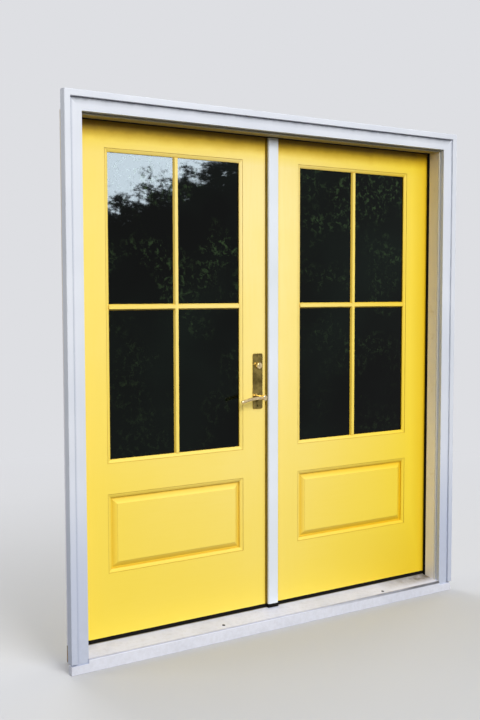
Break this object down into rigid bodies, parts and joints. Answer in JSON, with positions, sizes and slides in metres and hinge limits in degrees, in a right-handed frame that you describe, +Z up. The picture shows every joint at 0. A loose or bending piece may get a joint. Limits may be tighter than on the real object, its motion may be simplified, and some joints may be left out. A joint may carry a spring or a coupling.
{
  "type": "french doors",
  "caption": "Inward-opening pair of glazed french doors with grille bars and raised lower panels, in a cased frame with sill, astragal, lever lock and flush bolts.",
  "frame": {"origin": "on the underside of the sill, midway between the leaves, in the plane of the wall face behind the casing", "axes": "+X to the right seen from outdoors, +Y indoors, +Z up"},
  "size_m": [1.9854, 0.2135, 2.1601],
  "materials": {
    "leaf_paint": "satin yellow paint",
    "casing_paint": "satin white paint",
    "astragal_paint": "satin white paint",
    "jamb_wood": "matte beige paint",
    "sill_core": "bare wood",
    "saddle": "matte",
    "deck_metal": "satin",
    "black_rubber": "matte",
    "hinge_brass": "satin",
    "lock_brass": "polished",
    "steel": "brushed",
    "spacer_metal": "matte",
    "clear_glass": "clear"
  },
  "bodies": {
    "frame": {"backband_head": "casing_paint", "backband_left": "casing_paint", "backband_right": "casing_paint", "casing_head": "casing_paint", "casing_left": "casing_paint", "casing_right": "casing_paint", "flush_bolt_strikes": "lock_brass", "hinge_pins": "hinge_brass", "jamb_head": "jamb_wood", "jamb_hinge_leaves": "hinge_brass", "jamb_left": "jamb_wood", "jamb_right": "jamb_wood", "seal_head": "black_rubber", "seal_left": "black_rubber", "seal_right": "black_rubber", "sill_base": "sill_core", "sill_deck": "deck_metal", "sill_nosing": "casing_paint", "threshold_cap": "saddle"},
    "active_leaf": {"active_bottom_rail": "leaf_paint", "active_glazing_beads": "leaf_paint", "active_grilles": "leaf_paint", "active_hinge_leaves": "hinge_brass", "active_hinge_stile": "leaf_paint", "active_lock_stile": "leaf_paint", "active_mid_rail": "leaf_paint", "active_panel": "leaf_paint", "active_panes": "clear_glass", "active_spacer": "spacer_metal", "active_sweep": "black_rubber", "active_top_rail": "leaf_paint", "outside_plate": "lock_brass", "inside_plate": "lock_brass", "key_cylinder": "lock_brass", "latch_case": "steel", "deadbolt_case": "steel"},
    "passive_leaf": {"passive_bottom_rail": "leaf_paint", "passive_glazing_beads": "leaf_paint", "passive_grilles": "leaf_paint", "passive_hinge_leaves": "hinge_brass", "passive_hinge_stile": "leaf_paint", "passive_meeting_stile": "leaf_paint", "passive_mid_rail": "leaf_paint", "passive_panel": "leaf_paint", "passive_panes": "clear_glass", "passive_spacer": "spacer_metal", "passive_sweep": "black_rubber", "passive_top_rail": "leaf_paint", "astragal": "astragal_paint", "astragal_seal": "black_rubber", "lock_strikes": "lock_brass", "flush_bolt_plates": "lock_brass"},
    "lever": {"outside_lever": "lock_brass", "inside_lever": "lock_brass", "lever_spindle": "steel"},
    "latch": {"latch_bolt": "lock_brass"},
    "thumb": {"thumb_turn": "lock_brass"},
    "bolt": {"dead_bolt": "lock_brass"},
    "top_bolt": {"top_flush_bolt": "steel"},
    "bottom_bolt": {"bottom_flush_bolt": "steel"}
  },
  "joints": [
    {"name": "active_leaf_swing", "type": "hinge", "parent": "frame", "child": "active_leaf", "pos_m": [-0.9214, 0.127, 1], "axis": [0, 0, 1], "range_deg": [0, 110]},
    {"name": "passive_leaf_swing", "type": "hinge", "parent": "frame", "child": "passive_leaf", "pos_m": [0.9214, 0.127, 1], "axis": [0, 0, 1], "range_deg": [-103.5, 0]},
    {"name": "lever_turn", "type": "hinge", "parent": "active_leaf", "child": "lever", "pos_m": [-0.0705, 0.09775, 0.985], "axis": [0, -1, 0], "range_deg": [0, 45], "stiffness_Nm_per_rad": 1.5, "springref_deg": -28.65},
    {"name": "latch_slide", "type": "slide", "parent": "active_leaf", "child": "latch", "axis": [-1, 0, 0], "range_m": [0, 0.0127]},
    {"name": "thumb_turn_turn", "type": "hinge", "parent": "active_leaf", "child": "thumb", "pos_m": [-0.0705, 0.124, 1.119], "axis": [0, 1, 0], "range_deg": [0, 90]},
    {"name": "dead_bolt_slide", "type": "slide", "parent": "active_leaf", "child": "bolt", "axis": [1, 0, 0], "range_m": [0, 0.0254]},
    {"name": "top_bolt_slide", "type": "slide", "parent": "passive_leaf", "child": "top_bolt", "axis": [0, 0, 1], "range_m": [0, 0.02]},
    {"name": "bottom_bolt_slide", "type": "slide", "parent": "passive_leaf", "child": "bottom_bolt", "axis": [0, 0, -1], "range_m": [0, 0.03]}
  ],
  "couplings": [
    {"joint": "passive_leaf_swing", "follows": "active_leaf_swing", "ratio": -0.94},
    {"joint": "latch_slide", "follows": "lever_turn", "m_per_rad": 0.01617},
    {"joint": "thumb_turn_turn", "follows": "dead_bolt_slide", "rad_per_m": 61.84}
  ]
}
